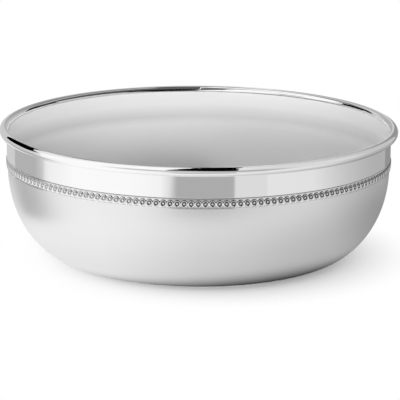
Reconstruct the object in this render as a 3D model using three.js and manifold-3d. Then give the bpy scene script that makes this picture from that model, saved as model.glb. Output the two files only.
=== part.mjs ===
// Silver bowl with a round rim wire and a ring-and-dot band, in millimetres, +Z up.
// The origin is the middle of the flat base, on the surface that the bowl stands on.

import * as THREE from 'three';
import { mergeVertices } from 'three/addons/utils/BufferGeometryUtils.js';
import Module from 'manifold-3d';

// Body: one sheet, spun to a flat base, a rounded side and a straight collar
const wallThickness = 0.7;
const baseDiameter = 80; // flat that the bowl stands on
const curveHeight = 29.95; // table to the top of the rounded side
const seatDepth = 0.3; // how far the seat of the band lies inside the collar
const shoulderHeight = 0.2; // height over which the wall steps from the seat to the collar
const collarHeight = 8.17; // straight wall above the shoulder

// Rim: a round wire, rebated to sit on the edge of the wall
const rimDiameter = 130; // across the outside of the wire
const rimWireDiameter = 2.9;
const rimCover = 0.6; // how far the wire reaches in over the edge of the wall
const rimEdgeDrop = 0.3; // edge of the wall below the middle of the wire

// Band: a strip of rings between two plain flat fillets
const seatMargin = 0.15; // plain seat below the lower fillet
const lowerFilletHeight = 0.42;
const upperFilletHeight = 0.25;
const filletThickness = 0.3;
const filletChamfer = 0.06; // along the two edges of its face
const stripThickness = 0.2;
const stripMargin = 0.03; // plain strip above and below the rings
const ringPitch = 2.165; // less than a ring's diameter, so that neighbours run together at the foot
const ringDiameter = 2.4; // at the face of the strip
const ringFlank = 0.27; // from the foot of a ring in to its ridge
const ridgeRelief = 0.4;
const grooveFlank = 0.4; // from the ridge in to the bottom of the groove
const grooveRelief = 0.1;
const dotRelief = 0.35; // top of the dot inside the groove

// Fits
const solderGap = 0.05; // between each soldered piece and its seat
const weldTolerance = 0.0001; // points closer than this are one point

// Fineness
const spinSegments = 56;
const curveSteps = 7;
const rimQuarterSteps = 3;
const ringSides = 8;
const ringsPerFacet = 2;

const rimWireRadius = rimWireDiameter / 2;
const rimWireCentreRadius = rimDiameter / 2 - rimWireRadius;
const collarRadius = rimWireCentreRadius - rimWireRadius + rimCover;
const seatRadius = collarRadius - seatDepth;
const solderRadius = seatRadius + solderGap;
const baseRadius = baseDiameter / 2;

// The band is stacked upwards from its plain margin, then come the collar and the rim.
const stripHeight = ringDiameter + 2 * stripMargin;
const lowerFilletBottom = curveHeight + seatMargin;
const stripBottom = lowerFilletBottom + lowerFilletHeight + solderGap;
const upperFilletBottom = stripBottom + stripHeight + solderGap;
const seatTop = upperFilletBottom + upperFilletHeight + solderGap;
const shoulderTop = seatTop + shoulderHeight;
const wallTop = shoulderTop + collarHeight;
const rimWireCentreHeight = wallTop + rimEdgeDrop;

const wasm = await Module();
wasm.setup();

function point(radius, height) {
  return new THREE.Vector2(radius, height);
}

// A solid of revolution about +Z from a profile of radius and height.
function spin(profile, segments) {
  const geometry = new THREE.LatheGeometry(profile, segments);
  geometry.rotateX(Math.PI / 2);
  return geometry;
}

function spinClosed(section, segments) {
  return spin([...section, section[0]], segments);
}

function toManifold(geometry) {
  const bare = geometry.clone();
  bare.deleteAttribute('normal');
  bare.deleteAttribute('uv');
  const welded = mergeVertices(bare, weldTolerance);
  return new wasm.Manifold(new wasm.Mesh({
    numProp: 3,
    vertProperties: welded.attributes.position.array,
    triVerts: new Uint32Array(welded.index.array),
  }));
}

function toGeometry(manifold) {
  const mesh = manifold.getMesh();
  const geometry = new THREE.BufferGeometry();
  geometry.setAttribute('position', new THREE.BufferAttribute(mesh.vertProperties, 3));
  geometry.setIndex(new THREE.BufferAttribute(mesh.triVerts, 1));
  geometry.computeVertexNormals();
  return geometry;
}

// The rounded side is a quarter ellipse that leaves the base level and meets the seat upright.
// The inside follows it at the thickness of the sheet, then runs straight up to the edge, so the
// step at the band shows on the outside only.
function bodyGeometry() {
  const side = new THREE.EllipseCurve(
    baseRadius, curveHeight, seatRadius - baseRadius, curveHeight, -Math.PI / 2, 0,
  );
  const outside = [point(0, 0)];
  const inside = [point(0, wallThickness)];
  for (let step = 0; step <= curveSteps; step += 1) {
    const along = step / curveSteps;
    const onSide = side.getPoint(along);
    const tangent = side.getTangent(along);
    const inward = point(-tangent.y, tangent.x).multiplyScalar(wallThickness);
    outside.push(onSide);
    inside.push(onSide.clone().add(inward));
  }
  outside.push(
    point(seatRadius, seatTop),
    point(collarRadius, shoulderTop),
    point(collarRadius, wallTop),
  );
  inside.push(point(collarRadius - wallThickness, wallTop));
  return spin([...outside, ...inside.reverse()], spinSegments);
}

// The wire's round section runs from the outside of the wall, over the top, to the rebate
// that sits on the wall's edge.
function rimGeometry() {
  const rebateRadius = collarRadius + solderGap;
  const rebateHeight = wallTop + solderGap;
  const start = -Math.acos((rebateRadius - rimWireCentreRadius) / rimWireRadius);
  const end = Math.PI - Math.asin((rebateHeight - rimWireCentreHeight) / rimWireRadius);
  const section = [point(rebateRadius, rebateHeight)];
  const stops = [start, 0, Math.PI / 2, Math.PI, end];
  for (let stop = 1; stop < stops.length; stop += 1) {
    const arc = new THREE.EllipseCurve(
      rimWireCentreRadius, rimWireCentreHeight, rimWireRadius, rimWireRadius, stops[stop - 1], stops[stop],
    );
    const shortArc = Math.abs(stops[stop] - stops[stop - 1]) < Math.PI / 4;
    const arcPoints = arc.getPoints(shortArc ? 1 : rimQuarterSteps);
    section.push(...(stop === 1 ? arcPoints : arcPoints.slice(1)));
  }
  return spinClosed(section, spinSegments);
}

// A plain flat strip with chamfered front edges.
function filletGeometry(bottom, height) {
  const top = bottom + height;
  const faceRadius = solderRadius + filletThickness;
  const edgeRadius = faceRadius - filletChamfer;
  return spinClosed([
    point(edgeRadius, bottom),
    point(faceRadius, bottom + filletChamfer),
    point(faceRadius, top - filletChamfer),
    point(edgeRadius, top),
    point(solderRadius, top),
    point(solderRadius, bottom),
  ], spinSegments);
}

// One raised ring with a groove and a dot, standing along +Y from the face of the strip.
// Its flank runs on below the face, and stays within the strip's margin there.
function ringGeometry() {
  const ringRadius = ringDiameter / 2;
  const ridgeRadius = ringRadius - ringFlank;
  const rootFlare = stripMargin / 2;
  const rootDepth = rootFlare * ridgeRelief / ringFlank;
  const profile = [
    point(0, -rootDepth),
    point(ringRadius + rootFlare, -rootDepth),
    point(ridgeRadius, ridgeRelief),
    point(ridgeRadius - grooveFlank, grooveRelief),
    point(0, dotRelief),
  ];
  return new THREE.LatheGeometry(profile, ringSides);
}

// The strip has flat facets, and each facet carries its rings side by side.
function stripGeometry() {
  const faceRadius = solderRadius + stripThickness;
  const facetCount = Math.round(2 * Math.PI * faceRadius / (ringPitch * ringsPerFacet));
  const halfFacet = Math.PI / facetCount;
  const facetWidth = 2 * faceRadius * Math.sin(halfFacet);
  const stripTop = stripBottom + stripHeight;
  const section = [
    point(faceRadius, stripBottom),
    point(faceRadius, stripTop),
    point(solderRadius, stripTop),
    point(solderRadius, stripBottom),
  ];
  let strip = toManifold(spinClosed(section, facetCount));
  const ring = ringGeometry();
  const up = new THREE.Vector3(0, 0, 1);
  const down = up.clone().negate();
  for (let facet = 0; facet < facetCount; facet += 1) {
    const angle = (2 * facet + 1) * halfFacet;
    const outward = new THREE.Vector3(Math.sin(angle), -Math.cos(angle), 0);
    const sideways = new THREE.Vector3(Math.cos(angle), Math.sin(angle), 0);
    for (let place = 0; place < ringsPerFacet; place += 1) {
      const shift = ((place + 0.5) / ringsPerFacet - 0.5) * facetWidth;
      const centre = outward.clone().multiplyScalar(faceRadius * Math.cos(halfFacet));
      centre.addScaledVector(sideways, shift);
      centre.addScaledVector(up, stripBottom + stripHeight / 2);
      const placed = new THREE.Matrix4().makeBasis(sideways, outward, down).setPosition(centre);
      strip = strip.add(toManifold(ring.clone().applyMatrix4(placed)));
    }
  }
  return toGeometry(strip.asOriginal().simplify(weldTolerance));
}

function silver(color, roughness) {
  return new THREE.MeshStandardMaterial({ color, roughness, metalness: 1 });
}

function piece(name, geometry, material) {
  const mesh = new THREE.Mesh(geometry, material);
  mesh.name = name;
  return mesh;
}

const bowl = new THREE.Group();
bowl.name = 'silver_bowl';
bowl.add(
  piece('bowl_body', bodyGeometry(), silver(0xd6d6d6, 0.35)),
  piece('rim_wire', rimGeometry(), silver(0xe8e8e8, 0.05)),
  piece('ring_strip', stripGeometry(), silver(0xcfcfcf, 0.15)),
  piece('upper_fillet', filletGeometry(upperFilletBottom, upperFilletHeight), silver(0xe4e4e4, 0.1)),
  piece('lower_fillet', filletGeometry(lowerFilletBottom, lowerFilletHeight), silver(0xe2e2e2, 0.1)),
);

export default bowl;
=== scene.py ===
import math

import bmesh
import bpy
from mathutils import Matrix, Quaternion, Vector


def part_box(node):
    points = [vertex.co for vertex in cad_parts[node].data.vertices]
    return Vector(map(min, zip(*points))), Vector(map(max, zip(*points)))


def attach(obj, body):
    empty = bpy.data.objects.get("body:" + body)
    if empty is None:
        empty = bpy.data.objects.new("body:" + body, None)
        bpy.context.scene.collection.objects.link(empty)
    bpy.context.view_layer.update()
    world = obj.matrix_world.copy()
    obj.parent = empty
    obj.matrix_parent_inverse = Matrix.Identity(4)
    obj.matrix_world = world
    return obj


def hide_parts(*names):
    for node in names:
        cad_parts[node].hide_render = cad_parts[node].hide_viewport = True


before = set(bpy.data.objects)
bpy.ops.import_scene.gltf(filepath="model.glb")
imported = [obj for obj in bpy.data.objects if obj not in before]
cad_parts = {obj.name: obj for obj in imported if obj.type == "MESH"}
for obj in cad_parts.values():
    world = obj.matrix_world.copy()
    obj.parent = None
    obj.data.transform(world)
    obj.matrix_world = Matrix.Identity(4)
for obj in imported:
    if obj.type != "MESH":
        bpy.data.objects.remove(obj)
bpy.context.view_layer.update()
scene = bpy.context.scene
scene.view_settings.view_transform = "Standard"
print("frame: loaded", len(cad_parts), "nodes")

mm = 0.001
fullTurn = 2 * math.pi
weldDistance = 0.0005 * mm
sharpAngle = math.radians(40)


# camera, at the height and distance that give the bowl's ellipses their width; angles in degrees
cameraView = {
    "distance": 900 * mm,
    "elevation": 14.783,
    "aim": Vector((0.52, 4.43, 16.8)) * mm,
    "roll": 0.379,
    "lens": 245.03,
    "nearest": 10 * mm,
    "farthest": 100,
}


def makeCamera(view):
    elevation = math.radians(view["elevation"])
    data = bpy.data.cameras.new("camera")
    data.lens = view["lens"]
    data.clip_start = view["nearest"]
    data.clip_end = view["farthest"]
    camera = bpy.data.objects.new("camera", data)
    camera.location = Vector((0, -math.cos(elevation), math.sin(elevation))) * view["distance"]
    camera.rotation_mode = "QUATERNION"
    looking = (view["aim"] - camera.location).to_track_quat("-Z", "Y")
    camera.rotation_quaternion = looking @ Quaternion((0, 0, 1), math.radians(view["roll"]))
    scene.collection.objects.link(camera)
    scene.camera = camera


makeCamera(cameraView)
print("camera: set")


# small node helpers
def addNode(tree, kind, **settings):
    node = tree.nodes.new(kind)
    for name, value in settings.items():
        setattr(node, name, value)
    return node


def addMath(tree, operation, first, second):
    node = addNode(tree, "ShaderNodeMath", operation=operation)
    for socket, value in zip(node.inputs, (first, second)):
        if isinstance(value, (int, float)):
            socket.default_value = value
        else:
            tree.links.new(value, socket)
    return node.outputs["Value"]


def addRange(tree, value, low, high, toLow, toHigh, smooth=False):
    node = addNode(tree, "ShaderNodeMapRange")
    node.interpolation_type = "SMOOTHSTEP" if smooth else "LINEAR"
    node.inputs["From Min"].default_value = low
    node.inputs["From Max"].default_value = high
    node.inputs["To Min"].default_value = toLow
    node.inputs["To Max"].default_value = toHigh
    tree.links.new(value, node.inputs["Value"])
    return node.outputs["Result"]


def greyColour(tone):
    return (tone, tone, tone, 1)


def addMix(tree, factor, first, second):
    node = addNode(tree, "ShaderNodeMix", data_type="RGBA")
    for socket, value in ((node.inputs["A"], first), (node.inputs["B"], second)):
        if isinstance(value, (int, float)):
            socket.default_value = greyColour(value)
        else:
            tree.links.new(value, socket)
    tree.links.new(factor, node.inputs["Factor"])
    return node.outputs["Result"]


def addMultiply(tree, first, second):
    node = addNode(tree, "ShaderNodeMix", data_type="RGBA", blend_type="MULTIPLY")
    node.inputs["Factor"].default_value = 1
    tree.links.new(first, node.inputs["A"])
    tree.links.new(second, node.inputs["B"])
    return node.outputs["Result"]


def addRamp(tree, value, stops):
    node = addNode(tree, "ShaderNodeValToRGB")
    elements = node.color_ramp.elements
    while len(elements) < len(stops):
        elements.new(0.5)
    for element, (place, tone) in zip(elements, stops):
        element.position = place
        element.color = greyColour(tone)
    tree.links.new(value, node.inputs["Fac"])
    return node.outputs["Color"]


# X, Y and Z of the shaded point on its own piece
def addPlace(tree):
    place = addNode(tree, "ShaderNodeTexCoord")
    split = addNode(tree, "ShaderNodeSeparateXYZ")
    tree.links.new(place.outputs["Object"], split.inputs["Vector"])
    return split.outputs


# how far the shaded point is from a centre
def addReach(tree, centre):
    place = addNode(tree, "ShaderNodeTexCoord")
    reach = addNode(tree, "ShaderNodeVectorMath", operation="DISTANCE")
    tree.links.new(place.outputs["Object"], reach.inputs[0])
    reach.inputs[1].default_value = centre
    return reach.outputs["Value"]


def newGroup(name, inputs, outputs):
    group = bpy.data.node_groups.new(name, "ShaderNodeTree")
    for label, value in inputs.items():
        socket = group.interface.new_socket(label, in_out="INPUT", socket_type="NodeSocketFloat")
        socket.default_value = value
    for label in outputs:
        group.interface.new_socket(label, in_out="OUTPUT", socket_type="NodeSocketFloat")
    return group, addNode(group, "NodeGroupInput"), addNode(group, "NodeGroupOutput")


def placeGroup(tree, group, values):
    node = addNode(tree, "ShaderNodeGroup", node_tree=group)
    for label, value in values.items():
        node.inputs[label].default_value = value
    return node


# fine lines that run round the bowl, as a spinning lathe or a polishing wheel leaves them
def makeSpunLines():
    group, given, result = newGroup("spunLines", {"Lines Per Metre": 3000, "Wander": 3}, ["Lines"])
    place = addPlace(group)
    flat = addNode(group, "ShaderNodeCombineXYZ")
    group.links.new(place["X"], flat.inputs["X"])
    group.links.new(place["Y"], flat.inputs["Y"])
    length = addNode(group, "ShaderNodeVectorMath", operation="LENGTH")
    group.links.new(flat.outputs["Vector"], length.inputs["Vector"])
    radius = length.outputs["Value"]
    safeRadius = addMath(group, "MAXIMUM", radius, mm)  # no division by zero on the axis
    across = addMath(group, "DIVIDE", place["X"], safeRadius)
    along = addMath(group, "DIVIDE", place["Y"], safeRadius)
    vector = addNode(group, "ShaderNodeCombineXYZ")
    lines = given.outputs["Lines Per Metre"]
    wander = given.outputs["Wander"]
    group.links.new(addMath(group, "MULTIPLY", radius, lines), vector.inputs["X"])
    group.links.new(addMath(group, "MULTIPLY", place["Z"], lines), vector.inputs["Y"])
    group.links.new(addMath(group, "MULTIPLY", across, wander), vector.inputs["Z"])
    noise = addNode(group, "ShaderNodeTexNoise", noise_dimensions="4D")
    noise.inputs["Scale"].default_value = 1
    noise.inputs["Detail"].default_value = 3
    noise.inputs["Roughness"].default_value = 0.6
    group.links.new(vector.outputs["Vector"], noise.inputs["Vector"])
    group.links.new(addMath(group, "MULTIPLY", along, wander), noise.inputs["W"])
    group.links.new(noise.outputs["Fac"], result.inputs["Lines"])
    return group


# soft clouds and a few hairlines from wiping and handling
handlingMarks = {
    "hazeRange": (0.3, 0.7),  # noise between which the haze sets in
    "hairRange": (0.68, 0.78),  # high and narrow, so that few hairlines show
    "hairSlant": (0.4, 0.9, 0.3),
    "hairStretch": (60, 900, 2400),
}


def makeHandling(marks):
    group, given, result = newGroup("handling", {"Clouds Per Metre": 30}, ["Haze", "Hairlines"])
    place = addNode(group, "ShaderNodeTexCoord")
    clouds = addNode(group, "ShaderNodeTexNoise")
    clouds.inputs["Detail"].default_value = 4
    clouds.inputs["Roughness"].default_value = 0.55
    group.links.new(place.outputs["Object"], clouds.inputs["Vector"])
    group.links.new(given.outputs["Clouds Per Metre"], clouds.inputs["Scale"])
    haze = addRange(group, clouds.outputs["Fac"], *marks["hazeRange"], 0, 1)
    group.links.new(haze, result.inputs["Haze"])
    stretch = addNode(group, "ShaderNodeMapping")
    stretch.inputs["Rotation"].default_value = marks["hairSlant"]
    stretch.inputs["Scale"].default_value = marks["hairStretch"]
    group.links.new(place.outputs["Object"], stretch.inputs["Vector"])
    hairs = addNode(group, "ShaderNodeTexNoise")
    hairs.inputs["Scale"].default_value = 1
    hairs.inputs["Detail"].default_value = 1
    group.links.new(stretch.outputs["Vector"], hairs.inputs["Vector"])
    hairlines = addRange(group, hairs.outputs["Fac"], *marks["hairRange"], 0, 1)
    group.links.new(hairlines, result.inputs["Hairlines"])
    return group


spunLines = makeSpunLines()
handling = makeHandling(handlingMarks)
hazeShare = 0.5  # of the drift in tone; the lines give the rest


# one silver finish: colour and roughness drift with the haze, and the lines raise a fine bump
def makeSilver(name, finish):
    material = bpy.data.materials.new(name)
    material.use_nodes = True
    tree = material.node_tree
    shader = tree.nodes["Principled BSDF"]
    shader.inputs["Metallic"].default_value = finish["metallic"]
    spun = placeGroup(tree, spunLines, {
        "Lines Per Metre": finish["linesPerMetre"],
        "Wander": finish["wander"],
    })
    marks = placeGroup(tree, handling, {"Clouds Per Metre": finish["cloudsPerMetre"]})
    haze = addMath(tree, "MULTIPLY", marks.outputs["Haze"], hazeShare)
    lines = addMath(tree, "MULTIPLY", spun.outputs["Lines"], 1 - hazeShare)
    tone = addMath(tree, "ADD", haze, lines)
    colour = addMix(tree, tone, finish["darkTone"], finish["lightTone"])
    tree.links.new(colour, shader.inputs["Base Color"])
    rough = addRange(tree, tone, 0, 1, finish["roughLow"], finish["roughHigh"])
    tree.links.new(rough, shader.inputs["Roughness"])
    height = addMath(tree, "SUBTRACT", spun.outputs["Lines"], marks.outputs["Hairlines"])
    bump = addNode(tree, "ShaderNodeBump")
    bump.inputs["Strength"].default_value = finish["bumpStrength"]
    bump.inputs["Distance"].default_value = finish["bumpDepth"]
    tree.links.new(height, bump.inputs["Height"])
    tree.links.new(bump.outputs["Normal"], shader.inputs["Normal"])
    return material


satinOutside = makeSilver("satin_outside", {
    "metallic": 1, "darkTone": 0.84, "lightTone": 0.89, "roughLow": 0.33, "roughHigh": 0.40,
    "linesPerMetre": 2600, "wander": 4, "cloudsPerMetre": 30,
    "bumpStrength": 0.25, "bumpDepth": 0.01 * mm,
})
satinInsidePaintedShade = makeSilver("satin_inside_painted_shade", {
    "metallic": 0.55, "darkTone": 0.95, "lightTone": 0.98, "roughLow": 0.38, "roughHigh": 0.44,
    "linesPerMetre": 2200, "wander": 4, "cloudsPerMetre": 25,
    "bumpStrength": 0.2, "bumpDepth": 0.01 * mm,
})
collarPolish = makeSilver("collar_polish", {
    "metallic": 1, "darkTone": 0.93, "lightTone": 0.96, "roughLow": 0.05, "roughHigh": 0.09,
    "linesPerMetre": 1500, "wander": 2, "cloudsPerMetre": 40,
    "bumpStrength": 0.06, "bumpDepth": 0.004 * mm,
})
rimPolish = makeSilver("rim_polish", {
    "metallic": 1, "darkTone": 0.95, "lightTone": 0.97, "roughLow": 0.03, "roughHigh": 0.06,
    "linesPerMetre": 1800, "wander": 2, "cloudsPerMetre": 50,
    "bumpStrength": 0.05, "bumpDepth": 0.004 * mm,
})
filletPolish = makeSilver("fillet_polish", {
    "metallic": 1, "darkTone": 0.82, "lightTone": 0.86, "roughLow": 0.07, "roughHigh": 0.12,
    "linesPerMetre": 1800, "wander": 2, "cloudsPerMetre": 50,
    "bumpStrength": 0.05, "bumpDepth": 0.004 * mm,
})


# painted shade: the satin inside is made darker along the soft step behind the band and towards the
# floor, where shade falls in the bowl
insidePaintedShade = {
    "height": 45 * mm,
    "tones": [(0.3, 0.75), (0.675, 1.0), (0.735, 0.83), (0.83, 1.0)],  # by the share of that height
}


def addPaintedShade(material, shades):
    tree = material.node_tree
    shader = tree.nodes["Principled BSDF"]
    height = addRange(tree, addPlace(tree)["Z"], 0, shades["height"], 0, 1)
    plain = shader.inputs["Base Color"].links[0].from_socket
    # painted shade: the base colour is multiplied darker by height, along the step and towards the
    # floor
    shaded = addMultiply(tree, plain, addRamp(tree, height, shades["tones"]))
    tree.links.new(shaded, shader.inputs["Base Color"])


addPaintedShade(satinInsidePaintedShade, insidePaintedShade)


# the strip is polished; the groove in each ring is darkened partly by tarnish and partly as painted
# shade, the corner above it gets a painted shade, and both are painted lighter on the key lamp's side
# of the bowl
def makeStripSilverPatinaShade(name, finish):
    material = makeSilver(name, finish)
    tree = material.node_tree
    shader = tree.nodes["Principled BSDF"]
    # the mask carries tarnish and painted shade in the grooves, and painted shade in the corner above
    # each ring
    patina_shade_mask = addNode(tree, "ShaderNodeAttribute", attribute_name="patina_shade_mask")
    patinaShadeAmount = addRange(
        tree, patina_shade_mask.outputs["Fac"], finish["patinaShadeStart"], finish["patinaShadeFull"], 0, 1, smooth=True,
    )
    # painted light: the dark tone turns lighter towards the key lamp's side of the bowl
    patinaShadeTone = addRange(
        tree, addPlace(tree)["X"], finish["paintedLitFrom"], finish["paintedLitTo"],
        finish["patinaShadeTone"], finish["paintedLitTone"], smooth=True,
    )
    polished = shader.inputs["Base Color"].links[0].from_socket
    tree.links.new(addMix(tree, patinaShadeAmount, polished, patinaShadeTone), shader.inputs["Base Color"])
    rough = shader.inputs["Roughness"].links[0].from_socket
    dull = addMath(tree, "MULTIPLY", patinaShadeAmount, finish["dullness"])
    tree.links.new(addMath(tree, "ADD", rough, dull), shader.inputs["Roughness"])
    return material


stripSilverPatinaShade = makeStripSilverPatinaShade("strip_silver", {
    "metallic": 1, "darkTone": 0.9, "lightTone": 0.95, "roughLow": 0.1, "roughHigh": 0.16,
    "linesPerMetre": 1800, "wander": 2, "cloudsPerMetre": 50,
    "bumpStrength": 0.05, "bumpDepth": 0.004 * mm,
    # the dark tone is tarnish and painted shade in the grooves, and painted shade in the corners
    "patinaShadeStart": 0.12, "patinaShadeFull": 0.58, "patinaShadeTone": 0.14, "dullness": 0.1,
    # painted light: a lighter dark tone on the key lamp's side
    "paintedLitTone": 0.45, "paintedLitFrom": -8 * mm, "paintedLitTo": -28 * mm,
})
print("materials: silver finishes made")


# profile helpers: a profile is drawn in the XZ plane, and the lathe turns it about Z
def startLine(bm, radius, height):
    return bm.verts.new((radius, 0, height))


def lineTo(bm, start, radius, height):
    end = bmesh.ops.extrude_vert_indiv(bm, verts=[start])["verts"][0]
    end.co = (radius, 0, height)
    return end


def arcTo(bm, start, radius, height, angle, steps):
    turned = bmesh.ops.spin(
        bm, geom=[start], cent=(radius, 0, height), axis=(0, -1, 0), angle=angle, steps=steps,
    )
    return [item for item in turned["geom_last"] if isinstance(item, bmesh.types.BMVert)][0]


# a quarter ellipse from the start point, about a centre in the section plane
def curveTo(bm, start, radius, height, angle, steps, stretch):
    before = set(bm.verts)
    end = arcTo(bm, start, radius, height, angle, steps)
    curve = [vert for vert in bm.verts if vert not in before]
    bmesh.ops.scale(bm, verts=curve, vec=stretch, space=Matrix.Translation((-radius, 0, -height)))
    return end


def lathe(bm, steps):
    bmesh.ops.spin(
        bm, geom=bm.verts[:] + bm.edges[:], cent=(0, 0, 0), axis=(0, 0, 1),
        angle=fullTurn, steps=steps, use_merge=True,
    )
    bmesh.ops.remove_doubles(bm, verts=bm.verts[:], dist=weldDistance)
    bmesh.ops.recalc_face_normals(bm, faces=bm.faces[:])


def loopEdges(bm, height, radius, reach):
    return [
        edge for edge in bm.edges
        if all(abs(vert.co.z - height) < reach for vert in edge.verts)
        and all(abs(vert.co.xy.length - radius) < reach for vert in edge.verts)
    ]


def cutLevel(bm, height):
    bmesh.ops.bisect_plane(
        bm, geom=bm.verts[:] + bm.edges[:] + bm.faces[:], dist=weldDistance,
        plane_co=(0, 0, height), plane_no=(0, 0, 1),
    )


def finishPiece(name, bm, materials, node):
    mesh = bpy.data.meshes.new(name)
    bm.to_mesh(mesh)
    bm.free()
    for material in materials:
        mesh.materials.append(material)
    mesh.shade_smooth()
    mesh.set_sharp_from_angle(angle=sharpAngle)
    piece = bpy.data.objects.new(name, mesh)
    scene.collection.objects.link(piece)
    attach(piece, "root")
    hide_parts(node)
    print("piece:", name, len(mesh.polygons), "faces")


# body: one sheet, drawn as its whole section and turned;
# the step at the band is sharp outside and soft inside
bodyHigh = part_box("bowl_body")[1]
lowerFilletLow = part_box("lower_fillet")[0]
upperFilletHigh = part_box("upper_fillet")[1]
bowlBody = {
    "wall": 0.7 * mm,
    "baseRadius": 40 * mm,
    "collarRadius": bodyHigh.x,
    "seatDepth": 0.3 * mm,
    "curveTop": lowerFilletLow.z - 0.15 * mm,  # leaves a plain margin below the band
    "seatTop": upperFilletHigh.z + 0.05 * mm,  # leaves the solder gap above it
    "shoulderHeight": 0.2 * mm,
    "wallTop": bodyHigh.z,
    "polishBottom": lowerFilletLow.z,
    "polishTilt": -0.2,  # faces that look further down than this stay satin
    "shoulderRound": 0.06 * mm,
    "roundSegments": 2,
    "loopReach": 0.02 * mm,  # how near its loop an edge has to lie to be rounded
    "insideStepTop": 35.5 * mm,  # below here the inside eases in by the depth of the seat
    "insideSteps": 10,
    "curveSteps": 40,
    "spinSteps": 256,
}


def makeBody(size):
    bm = bmesh.new()
    baseRadius = size["baseRadius"]
    curveTop = size["curveTop"]
    collarRadius = size["collarRadius"]
    seatRadius = collarRadius - size["seatDepth"]
    shoulderTop = size["seatTop"] + size["shoulderHeight"]
    innerRadius = seatRadius - size["wall"]
    innerDrop = curveTop - size["wall"]
    last = startLine(bm, 0, 0)
    last = lineTo(bm, last, baseRadius, 0)
    outStretch = ((seatRadius - baseRadius) / curveTop, 1, 1)
    last = curveTo(bm, last, baseRadius, curveTop, math.pi / 2, size["curveSteps"], outStretch)
    last = lineTo(bm, last, seatRadius, size["seatTop"])
    last = lineTo(bm, last, collarRadius, shoulderTop)
    last = lineTo(bm, last, collarRadius, size["wallTop"])
    last = lineTo(bm, last, collarRadius - size["wall"], size["wallTop"])
    last = lineTo(bm, last, collarRadius - size["wall"], size["insideStepTop"])
    for step in range(1, size["insideSteps"] + 1):
        along = step / size["insideSteps"]
        ease = along * along * (3 - 2 * along)
        radius = innerRadius + size["seatDepth"] * (1 - ease)
        fall = along * (size["insideStepTop"] - curveTop)
        last = lineTo(bm, last, radius, size["insideStepTop"] - fall)
    inStretch = (1, 1, innerDrop / (innerRadius - baseRadius))
    last = curveTo(bm, last, baseRadius, curveTop, -math.pi / 2, size["curveSteps"], inStretch)
    lineTo(bm, last, 0, size["wall"])
    lathe(bm, size["spinSteps"])
    corners = loopEdges(bm, size["seatTop"], seatRadius, size["loopReach"])
    corners += loopEdges(bm, shoulderTop, collarRadius, size["loopReach"])
    bmesh.ops.bevel(
        bm, geom=corners, offset=size["shoulderRound"], segments=size["roundSegments"],
        profile=0.5, affect="EDGES", material=-1,
    )
    # cuts just clear of the rounded corners keep the shading of the collar and the seat level
    clear = 2 * size["shoulderRound"]
    cutLevel(bm, size["polishBottom"])
    cutLevel(bm, size["seatTop"] - clear)
    cutLevel(bm, shoulderTop + clear)
    finishes = [satinOutside, collarPolish, satinInsidePaintedShade]
    for face in bm.faces:
        centre = face.calc_center_median()
        outward = centre.xy.normalized().dot(face.normal.xy) - face.normal.z
        finish = satinOutside
        if outward < 0:
            finish = satinInsidePaintedShade
        elif centre.z > size["polishBottom"] and face.normal.z > size["polishTilt"]:
            finish = collarPolish
        face.material_index = finishes.index(finish)
    finishPiece("bowl_shell", bm, finishes, "bowl_body")


makeBody(bowlBody)


# rim: a round wire with a rebate that sits on the edge of the wall
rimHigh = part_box("rim_wire")[1]
rimWire = {
    "wireRadius": 1.45 * mm,
    "outerRadius": rimHigh.x,
    "top": rimHigh.z,
    "solderGap": 0.05 * mm,
    "sectionSteps": 28,
    "spinSteps": 256,
}


def makeRim(size):
    bm = bmesh.new()
    wireRadius = size["wireRadius"]
    centreRadius = size["outerRadius"] - wireRadius
    centreHeight = size["top"] - wireRadius
    rebateRadius = bowlBody["collarRadius"] + size["solderGap"]
    rebateHeight = bowlBody["wallTop"] + size["solderGap"]
    under = math.acos((rebateRadius - centreRadius) / wireRadius)
    inner = math.pi + math.asin((centreHeight - rebateHeight) / wireRadius)
    lowest = startLine(bm, rebateRadius, centreHeight - wireRadius * math.sin(under))
    last = arcTo(bm, lowest, centreRadius, centreHeight, under + inner, size["sectionSteps"])
    corner = lineTo(bm, last, rebateRadius, rebateHeight)
    bm.edges.new((corner, lowest))
    lathe(bm, size["spinSteps"])
    finishPiece("rim_bead", bm, [rimPolish], "rim_wire")


makeRim(rimWire)


# band: a strip of raised rings between two plain flat fillets
stripLow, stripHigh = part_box("ring_strip")
ringStrip = {
    "backRadius": 62.45 * mm,
    "faceRadius": 62.65 * mm,
    "bottom": stripLow.z,
    "top": stripHigh.z,
    "ringCount": 182,
    "ringSides": 12,
    # distance from the ring's middle and height above the strip, in mm, and the groove's share of
    # dark patina and painted shade
    "ringLine": [
        (1.22, -0.02, 0), (1.06, 0.2, 0), (0.93, 0.29, 0),
        (0.54, 0.05, 1), (0.28, 0.2, 0.3), (0, 0.25, 0),
    ],
    # a flank further out than this gets a painted shade towards the top, in the corner under the
    # fillet
    "cornerShadeReach": 1.0 * mm,
    "cornerShadeGain": 3,
    "cornerShadeStart": 0.7,
    "spinSteps": 364,
}


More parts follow.
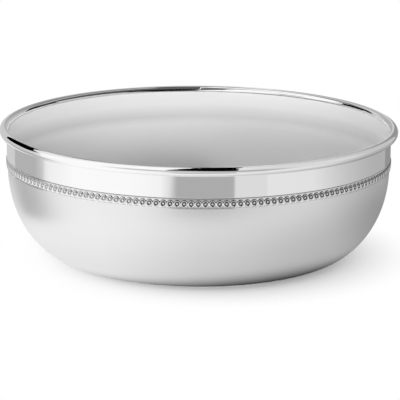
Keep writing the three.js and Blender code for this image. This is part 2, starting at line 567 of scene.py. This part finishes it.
def makeStrip(size):
    bm = bmesh.new()
    patina_shade_mask = bm.verts.layers.float.new("patina_shade_mask")
    corner = startLine(bm, size["faceRadius"], size["bottom"])
    last = lineTo(bm, corner, size["faceRadius"], size["top"])
    last = lineTo(bm, last, size["backRadius"], size["top"])
    last = lineTo(bm, last, size["backRadius"], size["bottom"])
    bm.edges.new((last, corner))
    lathe(bm, size["spinSteps"])
    plain = set(bm.verts)
    # one ring, at the front of the strip
    middle = (size["bottom"] + size["top"]) / 2
    line = None
    for out, rise, patinaShadeAmount in size["ringLine"]:
        place = (out * mm, -size["faceRadius"] - rise * mm, middle)
        if line is None:
            line = bm.verts.new(place)
        else:
            line = bmesh.ops.extrude_vert_indiv(bm, verts=[line])["verts"][0]
            line.co = place
        line[patina_shade_mask] = patinaShadeAmount
    profile = [vert for vert in bm.verts if vert not in plain]
    spokes = list({edge for vert in profile for edge in vert.link_edges})
    bmesh.ops.spin(
        bm, geom=profile + spokes, cent=(0, 0, middle), axis=(0, 1, 0),
        angle=fullTurn, steps=size["ringSides"], use_merge=True,
    )
    ringVerts = [vert for vert in bm.verts if vert not in plain]
    bmesh.ops.remove_doubles(bm, verts=ringVerts, dist=weldDistance)
    ringVerts = [vert for vert in bm.verts if vert not in plain]
    ringFaces = list({face for vert in ringVerts for face in vert.link_faces})
    bmesh.ops.recalc_face_normals(bm, faces=ringFaces)
    ringEdges = list({edge for vert in ringVerts for edge in vert.link_edges})
    # painted shade in the corner above each ring is written into the same mask
    for vert in ringVerts:
        upright = vert.co.z - middle
        reach = math.hypot(vert.co.x, upright)
        if reach > size["cornerShadeReach"]:
            shade = size["cornerShadeGain"] * upright / reach - size["cornerShadeStart"]
            vert[patina_shade_mask] = max(0, min(1, shade))
    # the other rings are its copies round the bowl
    copies = size["ringCount"] - 1
    bmesh.ops.spin(
        bm, geom=ringVerts + ringEdges + ringFaces, cent=(0, 0, 0), axis=(0, 0, 1),
        angle=fullTurn * copies / size["ringCount"], steps=copies, use_duplicate=True,
    )
    finishPiece("ring_band", bm, [stripSilverPatinaShade], "ring_strip")


makeStrip(ringStrip)


fillet = {"chamfer": 0.04 * mm, "spinSteps": 256}


def makeFillet(name, node, size):
    low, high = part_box(node)
    bm = bmesh.new()
    backRadius = ringStrip["backRadius"]
    edgeRadius = high.x - size["chamfer"]
    first = startLine(bm, backRadius, low.z)
    last = lineTo(bm, first, edgeRadius, low.z)
    last = lineTo(bm, last, high.x, low.z + size["chamfer"])
    last = lineTo(bm, last, high.x, high.z - size["chamfer"])
    last = lineTo(bm, last, edgeRadius, high.z)
    last = lineTo(bm, last, backRadius, high.z)
    bm.edges.new((last, first))
    lathe(bm, size["spinSteps"])
    finishPiece(name, bm, [filletPolish], node)


makeFillet("fillet_above", "upper_fillet", fillet)
makeFillet("fillet_below", "lower_fillet", fillet)


# stage: a pale floor and two soft lamps, in a room of plain tones for the silver to reflect
studio = {
    "floorRadius": 6.0,
    "floorSides": 96,
    "floorTone": 0.96,
    "shadowCentre": (4 * mm, 0, 0),  # the shadow falls away from the key lamp
    "shadowInner": 32 * mm,  # from here out it fades into the white
    "shadowOuter": 70.5 * mm,
    "worldLevel": 0.47,
    # the room in front of the bowl, from the table up to the lamps, by the sine of the elevation
    "frontTones": [(0.0, 0.8), (0.15, 0.55), (0.45, 0.5), (0.6, 1.0)],
    # left and right tones beside the bowl and behind it
    "sideTones": (1.0, 0.72),
    "backTones": (0.8, 0.57),
    # the blends between these parts of the room, along the Y or X of the direction
    "frontToSide": (-0.8, -0.45),
    "sideToBack": (0.1, 0.5),
    "sideBlend": (-0.2, 0.5),
    "backBlend": (-0.1, 0.35),
}


# the floor is white to the camera, apart from the bowl's shadow
def makeFloor(size):
    bm = bmesh.new()
    bmesh.ops.create_circle(
        bm, cap_ends=True, segments=size["floorSides"], radius=size["floorRadius"],
    )
    mesh = bpy.data.meshes.new("floor")
    bm.to_mesh(mesh)
    bm.free()
    floor = bpy.data.objects.new("floor", mesh)
    material = bpy.data.materials.new("floor_paper")
    material.use_nodes = True
    tree = material.node_tree
    shader = tree.nodes["Principled BSDF"]
    shader.inputs["Base Color"].default_value = greyColour(size["floorTone"])
    shader.inputs["Roughness"].default_value = 1
    shader.inputs["Specular IOR Level"].default_value = 0
    reach = addReach(tree, size["shadowCentre"])
    away = addRange(tree, reach, size["shadowInner"], size["shadowOuter"], 0, 1, smooth=True)
    path = addNode(tree, "ShaderNodeLightPath")
    white = addNode(tree, "ShaderNodeEmission")
    blend = addNode(tree, "ShaderNodeMixShader")
    share = addMath(tree, "MULTIPLY", away, path.outputs["Is Camera Ray"])
    tree.links.new(share, blend.inputs["Fac"])
    tree.links.new(shader.outputs["BSDF"], blend.inputs[1])
    tree.links.new(white.outputs["Emission"], blend.inputs[2])
    tree.links.new(blend.outputs["Shader"], tree.nodes["Material Output"].inputs["Surface"])
    mesh.materials.append(material)
    scene.collection.objects.link(floor)


# the world is white to the camera, a room of tones to the silver and one level to the rest
def makeWorld(size):
    world = bpy.data.worlds.new("studio")
    world.use_nodes = True
    tree = world.node_tree
    background = tree.nodes["Background"]
    path = addNode(tree, "ShaderNodeLightPath")
    mirrored = addMath(
        tree, "MAXIMUM", path.outputs["Is Glossy Ray"], path.outputs["Is Transmission Ray"],
    )
    direction = addNode(tree, "ShaderNodeTexCoord")
    split = addNode(tree, "ShaderNodeSeparateXYZ")
    tree.links.new(direction.outputs["Generated"], split.inputs["Vector"])
    sideways = split.outputs["X"]
    backwards = split.outputs["Y"]
    front = addRamp(tree, split.outputs["Z"], size["frontTones"])
    besides = addRange(tree, backwards, *size["frontToSide"], 0, 1, smooth=True)
    behind = addRange(tree, backwards, *size["sideToBack"], 0, 1, smooth=True)
    side = addRange(tree, sideways, *size["sideBlend"], *size["sideTones"], smooth=True)
    back = addRange(tree, sideways, *size["backBlend"], *size["backTones"], smooth=True)
    around = addMultiply(tree, addMix(tree, besides, front, 1), side)
    room = addMix(tree, behind, around, back)
    lit = addMix(tree, path.outputs["Is Camera Ray"], size["worldLevel"], 1)
    tree.links.new(addMix(tree, mirrored, lit, room), background.inputs["Color"])
    scene.world = world


lamps = {
    "key": {"place": (-1.0, 0.25, 1.1), "size": 1.2, "watts": 10.0},
    # low, so that it reaches the upper back wall
    "front": {"place": (0.15, -1.19, 0.16), "size": 0.3, "watts": 20.0},
}


def makeLamp(name, lamp):
    data = bpy.data.lights.new(name, "AREA")
    data.shape = "SQUARE"
    data.size = lamp["size"]
    data.energy = lamp["watts"]
    obj = bpy.data.objects.new(name, data)
    obj.location = lamp["place"]
    obj.rotation_mode = "QUATERNION"
    obj.rotation_quaternion = (-Vector(lamp["place"])).to_track_quat("-Z", "Y")
    obj.visible_camera = False
    obj.visible_glossy = False
    scene.collection.objects.link(obj)


# the table as the silver reflects it: bright towards the key lamp, dim on the far side,
# and shaded near the bowl
tableSheet = {
    "radius": 3.0,
    "sides": 96,
    "height": 0.3 * mm,
    "away": (0.85, 0.5, 0),
    "tones": [(0.05, 1.0), (0.25, 0.84), (0.75, 0.79), (1.0, 0.44)],
    # each shade: its centre, the radii between which it clears, and its tone
    "shades": [
        {"centre": (5 * mm, -3 * mm, 0), "inner": 40 * mm, "outer": 52 * mm, "tone": 0.03},
        {"centre": (45 * mm, 15 * mm, 0), "inner": 40 * mm, "outer": 130 * mm, "tone": 0.64},
    ],
}

# each card: its corners in mm, the grey that the silver reflects there, or one for each corner,
# and the grey of its back where that differs
cards = {
    # flat on the table, for the collar
    "front_gap": {
        "tone": 0.43,
        "corners": [(-24, -140, 1), (41, -140, 1), (150, -420, 1), (-86, -420, 1)],
    },
    "front_edge": {
        "tones": [0.9, 0.43, 0.43, 0.9],
        "corners": [(-44, -140, 1), (-24, -140, 1), (-86, -420, 1), (-143, -420, 1)],
    },
    "front_right": {
        "tone": 0.74,
        "corners": [(41, -140, 1), (65, -110, 1), (331, -420, 1), (150, -420, 1)],
    },
    "left_back": {
        "tone": 0.46,
        "corners": [(-80, -23, 1), (-80, 8, 1), (-330, 330, 1), (-330, 87, 1)],
    },
    "left_edge": {
        "tones": [0.46, 0.46, 0.76, 0.76],
        "corners": [(-80, -23, 1), (-330, 87, 1), (-330, 32, 1), (-80, -33, 1)],
    },
    "left_glow": {
        "tones": [1.0, 0.78, 0.78, 1.0],
        "corners": [(-80, -58, 1), (-80, -33, 1), (-330, 32, 1), (-330, -111, 1)],
    },
    "left_far": {
        "tone": 0.63,
        "corners": [
            (-140, 85, 1), (-50, 85, 1), (-50, 1500, 1), (-900, 1500, 1), (-330, 330, 1),
        ],
    },
    "right_back": {
        "tone": 0.3,
        "corners": [(107, 60, 1), (257, 300, 1), (150, 330, 1), (50, 120, 1)],
    },
    # upright, well behind the bowl
    "right_wall": {
        "tone": 0.3,
        "corners": [(110, 400, 1), (285, 400, 1), (285, 400, 330), (110, 400, 330)],
    },
    "left_wall": {
        "tone": 0.6,
        "corners": [(-800, 100, 1), (100, 500, 1), (100, 500, 180), (-800, 100, 180)],
    },
    # above the bowl and close to it, for the streaks on the rim
    "overhead_rail": {
        "tone": 0.0,
        "corners": [
            (-284, -769, 600), (406, -1016, 600), (122, -93, 600), (50, 700, 600),
            (-2, 700, 600), (-18, 127, 600), (-86, -217, 600),
        ],
    },
    "board": {
        "tones": [0.0, 0.45, 0.3, 0.08, 0.0, 0.0],
        "backTone": 1.0,
        "corners": [
            (0, -50, 43.5), (0, -50, 220), (0, 60, 220),
            (0, 60, 52), (0, 33, 52), (0, 32, 43.5),
        ],
    },
    "board_foot": {
        "tone": 0.0,
        "backTone": 1.0,
        "corners": [(0, 25, 33), (0, 25, 43.5), (0, 31.3, 43.5), (0, 31.2, 33)],
    },
    "board_end": {
        "tone": 0.5,
        "backTone": 0.9,
        "corners": [(0.3, 31.3, 35), (0.3, 31.3, 43.5), (0.3, 44, 43.5), (0.3, 44, 38)],
    },
    "back_left": {
        "tones": [0.55, 0.75, 0.25, 0.1],
        "corners": [(-66, 80, 43), (12, 80, 43), (12, 80, 95), (-66, 80, 95)],
    },
    "back_high": {
        "tones": [0.1, 0.25, 0.1, 0.03],
        "corners": [(-66, 80, 95), (12, 80, 95), (12, 80, 150), (-66, 80, 150)],
    },
    "back_gap": {
        "tone": 0.08,
        "corners": [(0.2, 45, 43.5), (4, 45, 50), (4, 45, 100), (0.2, 45, 100)],
    },
    "back_right": {
        "tone": 0.45,
        "corners": [(25, 80, 43), (58, 80, 43), (58, 80, 90), (25, 80, 90)],
    },
    "left_gap": {
        "tone": 0.0,
        "corners": [
            (-66, -14, 44.4), (-57, -14, 49), (-55, -14, 63), (-77, -14, 67),
            (-142, -14, 82), (-122, -14, 64), (-98, -14, 54), (-79, -14, 50),
        ],
    },
    "right_gap": {
        "tone": 0.0,
        "corners": [
            (0.1, 44.5, 40), (0.1, 60, 40), (0.1, 60, 44),
            (0.1, 73.5, 44), (0.1, 76.5, 70), (0.1, 52.5, 72),
        ],
    },
}


# only reflections see a card
def placeCard(name, bm, makeColour):
    mesh = bpy.data.meshes.new(name)
    bm.to_mesh(mesh)
    bm.free()
    material = bpy.data.materials.new(name)
    material.use_nodes = True
    tree = material.node_tree
    tree.nodes.remove(tree.nodes["Principled BSDF"])
    glow = addNode(tree, "ShaderNodeEmission")
    makeColour(tree, glow.inputs["Color"])
    tree.links.new(glow.outputs["Emission"], tree.nodes["Material Output"].inputs["Surface"])
    mesh.materials.append(material)
    obj = bpy.data.objects.new(name, mesh)
    obj.visible_camera = False
    obj.visible_diffuse = False
    obj.visible_shadow = False
    scene.collection.objects.link(obj)


def makeCard(name, card):
    bm = bmesh.new()
    tone = bm.verts.layers.float.new("tone")
    verts = [bm.verts.new(Vector(corner) * mm) for corner in card["corners"]]
    tones = card["tones"] if "tones" in card else [card["tone"]] * len(verts)
    for vert, grey in zip(verts, tones):
        vert[tone] = grey
    bm.faces.new(verts)

    def ownGreys(tree, socket):
        greys = addNode(tree, "ShaderNodeAttribute", attribute_name="tone").outputs["Fac"]
        if "backTone" in card:
            side = addNode(tree, "ShaderNodeNewGeometry")
            greys = addMix(tree, side.outputs["Backfacing"], greys, card["backTone"])
        tree.links.new(greys, socket)

    placeCard(name, bm, ownGreys)


def makeTableSheet(size):
    bm = bmesh.new()
    bmesh.ops.create_circle(bm, cap_ends=True, segments=size["sides"], radius=size["radius"])
    bmesh.ops.translate(bm, verts=bm.verts[:], vec=(0, 0, size["height"]))

    def lampSide(tree, socket):
        place = addNode(tree, "ShaderNodeTexCoord")
        direction = addNode(tree, "ShaderNodeVectorMath", operation="NORMALIZE")
        tree.links.new(place.outputs["Object"], direction.inputs["Vector"])
        away = addNode(tree, "ShaderNodeVectorMath", operation="DOT_PRODUCT")
        tree.links.new(direction.outputs["Vector"], away.inputs[0])
        away.inputs[1].default_value = size["away"]
        tones = addRamp(tree, addRange(tree, away.outputs["Value"], -1, 1, 0, 1), size["tones"])
        for shade in size["shades"]:
            reach = addReach(tree, shade["centre"])
            clear = addRange(tree, reach, shade["inner"], shade["outer"], 0, 1, smooth=True)
            tones = addMultiply(tree, tones, addMix(tree, clear, shade["tone"], 1))
        tree.links.new(tones, socket)

    placeCard("table_sheet", bm, lampSide)


makeFloor(studio)
makeWorld(studio)
for name, lamp in lamps.items():
    makeLamp(name, lamp)
makeTableSheet(tableSheet)
for name, card in cards.items():
    makeCard(name, card)
print("stage: floor,", len(lamps), "lamps,", len(cards) + 1, "cards")
